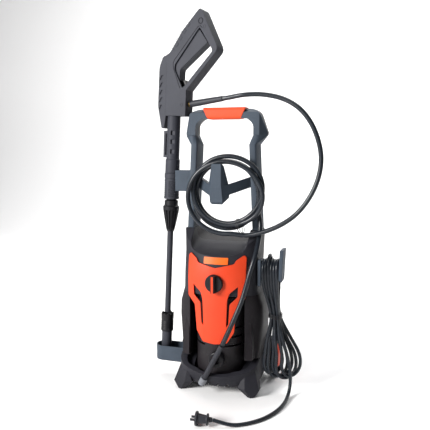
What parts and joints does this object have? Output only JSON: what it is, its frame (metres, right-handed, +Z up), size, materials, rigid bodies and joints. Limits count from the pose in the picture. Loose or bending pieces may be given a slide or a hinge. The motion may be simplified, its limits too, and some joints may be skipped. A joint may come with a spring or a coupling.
{
  "type": "pressure washer",
  "caption": "Upright electric pressure washer on two wheels, spray gun with lance stowed at the left, high-pressure hose on a front hook and mains cord on a side hook.",
  "frame": {"origin": "middle of the footprint on the floor, free cords left out", "axes": "+Z up; the control panel faces -Y; the spray gun is stowed on the -X side"},
  "size_m": [0.4681, 0.4161, 1.0143],
  "materials": {
    "charcoal_plastic": "fine texture",
    "brown_black_plastic": "fine texture",
    "black_plastic": "satin",
    "orange_plastic": "satin",
    "label_orange": "satin",
    "gun_grey_plastic": "fine texture",
    "wheel_rubber": "matte",
    "hose_rubber": "satin",
    "steel": "brushed",
    "brass": "turned",
    "copper_winding": "wound",
    "cast_aluminium": "cast",
    "inner_grey": "matte"
  },
  "bodies": {
    "machine": {"base_frame": "charcoal_plastic", "front_housing": "charcoal_plastic", "upright_left": "charcoal_plastic", "upright_right": "charcoal_plastic", "handle_loop": "charcoal_plastic", "hose_hook": "charcoal_plastic", "gun_clip": "charcoal_plastic", "lance_cup": "charcoal_plastic", "cord_hook": "charcoal_plastic", "rear_housing": "brown_black_plastic", "side_fairing_left": "brown_black_plastic", "side_fairing_right": "brown_black_plastic", "lower_grille": "black_plastic", "handle_rear_shell": "black_plastic", "water_inlet": "black_plastic", "lance_cone": "black_plastic", "front_panel": "orange_plastic", "handle_grip": "orange_plastic", "label_plate": "label_orange", "gun_shell_front": "gun_grey_plastic", "gun_shell_rear": "gun_grey_plastic", "gun_side_cover": "gun_grey_plastic", "gun_barrel": "gun_grey_plastic", "lance_tube": "gun_grey_plastic", "nozzle_tip": "gun_grey_plastic", "hose_sleeve_gun": "hose_rubber", "hose_upper_run": "hose_rubber", "hose_coil": "hose_rubber", "hose_lower_run": "hose_rubber", "hose_sleeve_outlet": "hose_rubber", "cord_gland": "hose_rubber", "cord_lead": "hose_rubber", "cord_hank": "hose_rubber", "cord_free_run": "hose_rubber", "plug": "hose_rubber", "trigger_pin": "steel", "wheel_axle": "steel", "motor_body": "steel", "pressure_outlet": "steel", "gun_valve": "brass", "gun_inlet": "brass", "pump_body": "cast_aluminium", "rotary_switch": "inner_grey", "run_capacitor": "inner_grey"},
    "knob": {"switch_knob": "black_plastic", "knob_pointer": "orange_plastic"},
    "left_wheel": {"wheel_left": "wheel_rubber", "hub_cap_left": "orange_plastic"},
    "right_wheel": {"wheel_right": "wheel_rubber", "hub_cap_right": "orange_plastic"},
    "drive": {"motor_rotor": "copper_winding", "motor_fan": "black_plastic", "wobble_plate": "steel"},
    "plunger_1": {"piston_1": "steel"},
    "plunger_2": {"piston_2": "steel"},
    "plunger_3": {"piston_3": "steel"},
    "trigger": {"gun_trigger": "gun_grey_plastic"},
    "lock_lever": {"trigger_lock": "black_plastic"},
    "lance_nut": {"bayonet_nut": "gun_grey_plastic"},
    "spray_collar": {"nozzle_collar": "black_plastic"}
  },
  "joints": [
    {"name": "knob_turn", "type": "hinge", "parent": "machine", "child": "knob", "pos_m": [0.01507, -0.11402, 0.304], "axis": [0, 1, 0], "range_deg": [0, 90]},
    {"name": "left_wheel_spin", "type": "hinge", "parent": "machine", "child": "left_wheel", "pos_m": [-0.11194, 0.07298, 0.057], "axis": [1, 0, 0], "continuous": true},
    {"name": "right_wheel_spin", "type": "hinge", "parent": "machine", "child": "right_wheel", "pos_m": [0.14206, 0.07298, 0.057], "axis": [1, 0, 0], "continuous": true},
    {"name": "motor_spin", "type": "hinge", "parent": "machine", "child": "drive", "pos_m": [0.01507, -0.01401, 0.24], "axis": [0, 0, 1], "continuous": true},
    {"name": "plunger_1_stroke", "type": "slide", "parent": "machine", "child": "plunger_1", "axis": [0, 0, 1], "range_m": [-0.0075, 0], "stiffness_N_per_m": 500, "springref_m": 0.002},
    {"name": "plunger_2_stroke", "type": "slide", "parent": "machine", "child": "plunger_2", "axis": [0, 0, 1], "range_m": [-0.0075, 0], "stiffness_N_per_m": 500, "springref_m": 0.002},
    {"name": "plunger_3_stroke", "type": "slide", "parent": "machine", "child": "plunger_3", "axis": [0, 0, 1], "range_m": [-0.0075, 0], "stiffness_N_per_m": 500, "springref_m": 0.002},
    {"name": "trigger_pull", "type": "hinge", "parent": "machine", "child": "trigger", "pos_m": [-0.11987, 0.00404, 0.83958], "axis": [-0.2069, -0.9779, 0.0288], "range_deg": [0, 6], "stiffness_Nm_per_rad": 5, "springref_deg": -5.73},
    {"name": "lock_flip", "type": "hinge", "parent": "machine", "child": "lock_lever", "pos_m": [-0.09269, -0.00226, 0.82067], "axis": [0.2069, 0.9779, -0.0288], "range_deg": [0, 35]},
    {"name": "lance_nut_turn", "type": "hinge", "parent": "machine", "child": "lance_nut", "pos_m": [-0.14064, -0.00008, 0.55018], "axis": [0.0379, 0.0214, 0.9991], "range_deg": [0, 60]},
    {"name": "spray_collar_turn", "type": "hinge", "parent": "machine", "child": "spray_collar", "pos_m": [-0.15556, -0.0085, 0.15655], "axis": [0.0379, 0.0214, 0.9991], "range_deg": [0, 90]}
  ]
}
